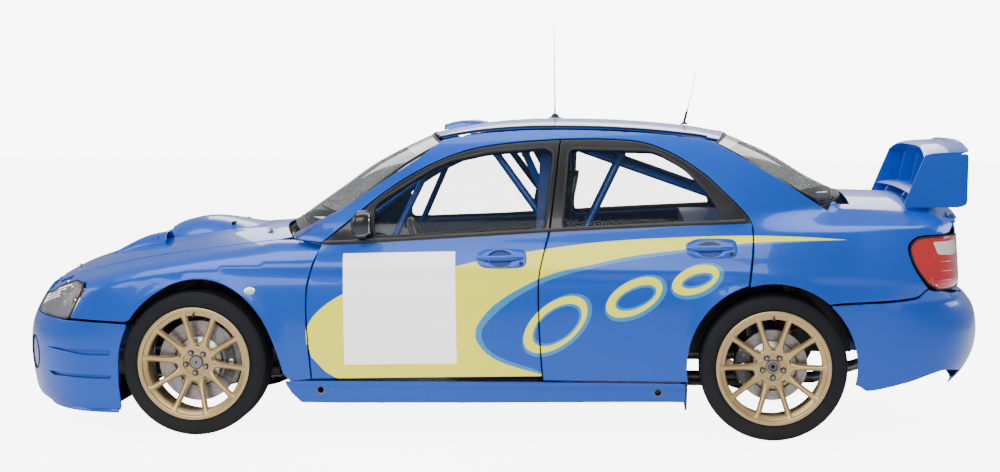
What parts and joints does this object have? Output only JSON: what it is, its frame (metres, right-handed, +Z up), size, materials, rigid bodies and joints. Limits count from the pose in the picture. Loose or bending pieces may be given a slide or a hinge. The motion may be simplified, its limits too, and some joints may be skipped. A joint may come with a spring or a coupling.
{
  "type": "rally car",
  "caption": "Four-door rally saloon with roll cage, sump guard, roof vent, tall rear wing, opening doors and lids, and wheels that steer and roll.",
  "frame": {"origin": "on the ground under the middle of the car's length and width", "axes": "+X forwards, +Y to the car's left, +Z up"},
  "size_m": [4.4005, 1.804, 1.852],
  "materials": {
    "body_paint": "gloss",
    "inner_paint": "satin",
    "black_trim": "satin",
    "glass": "polished",
    "lamp_lens": "polished",
    "tail_lens": "gloss",
    "cage_paint": "satin",
    "seat_fabric": "woven",
    "engine_metal": "cast",
    "exhaust_steel": "heat stained",
    "guard_alloy": "scuffed",
    "suspension_steel": "satin",
    "caliper_paint": "satin",
    "tyre_rubber": "matt",
    "wheel_gold": "satin",
    "brake_iron": "turned"
  },
  "bodies": {
    "chassis": {"floor_pan": "inner_paint", "bulkheads": "inner_paint", "sills": "inner_paint", "jack_tubes": "inner_paint", "side_skirts": "body_paint", "pillars": "body_paint", "roof_panel": "body_paint", "roof_vent": "black_trim", "quarter_panels": "body_paint", "front_wings": "body_paint", "front_bumper": "body_paint", "front_grille": "black_trim", "rear_bumper": "body_paint", "wheel_housings": "black_trim", "cowl_panel": "black_trim", "windscreen": "glass", "rear_window": "glass", "headlights": "lamp_lens", "tail_lights": "tail_lens", "antennas": "black_trim", "roll_cage": "cage_paint", "seats": "seat_fabric", "dashboard": "black_trim", "engine": "engine_metal", "transmission": "engine_metal", "exhaust": "exhaust_steel", "sump_guard": "guard_alloy", "suspension_arms": "suspension_steel", "suspension_struts": "suspension_steel", "rear_uprights": "suspension_steel", "rear_calipers": "caliper_paint"},
    "front_door_left": {"front_door_left": "body_paint", "front_door_glass_left": "glass", "door_mirror_left": "black_trim"},
    "rear_door_left": {"rear_door_left": "body_paint", "rear_door_glass_left": "glass"},
    "front_door_right": {"front_door_right": "body_paint", "front_door_glass_right": "glass", "door_mirror_right": "black_trim"},
    "rear_door_right": {"rear_door_right": "body_paint", "rear_door_glass_right": "glass"},
    "bonnet": {"bonnet": "body_paint"},
    "boot_lid": {"boot_lid": "body_paint", "rear_wing": "body_paint"},
    "steering_wheel": {"steering_wheel": "black_trim"},
    "knuckle_left": {"front_upright_left": "suspension_steel"},
    "knuckle_right": {"front_upright_right": "suspension_steel"},
    "wheel_front_left": {"tyre_front_left": "tyre_rubber", "rim_front_left": "wheel_gold", "brake_front_left": "brake_iron"},
    "wheel_front_right": {"tyre_front_right": "tyre_rubber", "rim_front_right": "wheel_gold", "brake_front_right": "brake_iron"},
    "wheel_rear_left": {"tyre_rear_left": "tyre_rubber", "rim_rear_left": "wheel_gold", "brake_rear_left": "brake_iron"},
    "wheel_rear_right": {"tyre_rear_right": "tyre_rubber", "rim_rear_right": "wheel_gold", "brake_rear_right": "brake_iron"}
  },
  "joints": [
    {"name": "front_door_left_hinge", "type": "hinge", "parent": "chassis", "child": "front_door_left", "pos_m": [0.794, 0.86, 0.6], "axis": [0, 0, -1], "range_deg": [0, 65]},
    {"name": "rear_door_left_hinge", "type": "hinge", "parent": "chassis", "child": "rear_door_left", "pos_m": [-0.228, 0.863, 0.6], "axis": [0, 0, -1], "range_deg": [0, 60]},
    {"name": "front_door_right_hinge", "type": "hinge", "parent": "chassis", "child": "front_door_right", "pos_m": [0.794, -0.86, 0.6], "axis": [0, 0, 1], "range_deg": [0, 65]},
    {"name": "rear_door_right_hinge", "type": "hinge", "parent": "chassis", "child": "rear_door_right", "pos_m": [-0.228, -0.863, 0.6], "axis": [0, 0, 1], "range_deg": [0, 60]},
    {"name": "bonnet_hinge", "type": "hinge", "parent": "chassis", "child": "bonnet", "pos_m": [0.88, 0, 0.9], "axis": [0, -1, 0], "range_deg": [0, 55]},
    {"name": "boot_lid_hinge", "type": "hinge", "parent": "chassis", "child": "boot_lid", "pos_m": [-1.592, 0, 1.056], "axis": [0, 1, 0], "range_deg": [0, 60]},
    {"name": "steer_left", "type": "hinge", "parent": "chassis", "child": "knuckle_left", "pos_m": [1.292, 0.672, 0.18], "axis": [0, -0.1822, 0.9833], "range_deg": [-28, 28]},
    {"name": "steer_right", "type": "hinge", "parent": "chassis", "child": "knuckle_right", "pos_m": [1.292, -0.672, 0.18], "axis": [0, 0.1822, 0.9833], "range_deg": [-28, 28]},
    {"name": "steering_wheel_turn", "type": "hinge", "parent": "chassis", "child": "steering_wheel", "pos_m": [0.33, 0.34, 0.77], "axis": [-0.9272, 0, 0.3746], "range_deg": [-340, 340]},
    {"name": "wheel_front_left_spin", "type": "hinge", "parent": "knuckle_left", "child": "wheel_front_left", "pos_m": [1.292, 0.77, 0.32], "axis": [0, 1, 0], "continuous": true},
    {"name": "wheel_front_right_spin", "type": "hinge", "parent": "knuckle_right", "child": "wheel_front_right", "pos_m": [1.292, -0.77, 0.32], "axis": [0, 1, 0], "continuous": true},
    {"name": "wheel_rear_left_spin", "type": "hinge", "parent": "chassis", "child": "wheel_rear_left", "pos_m": [-1.243, 0.77, 0.32], "axis": [0, 1, 0], "continuous": true},
    {"name": "wheel_rear_right_spin", "type": "hinge", "parent": "chassis", "child": "wheel_rear_right", "pos_m": [-1.243, -0.77, 0.32], "axis": [0, 1, 0], "continuous": true}
  ],
  "couplings": [
    {"joint": "steer_right", "follows": "steer_left", "ratio": 1},
    {"joint": "steering_wheel_turn", "follows": "steer_left", "ratio": 12}
  ]
}
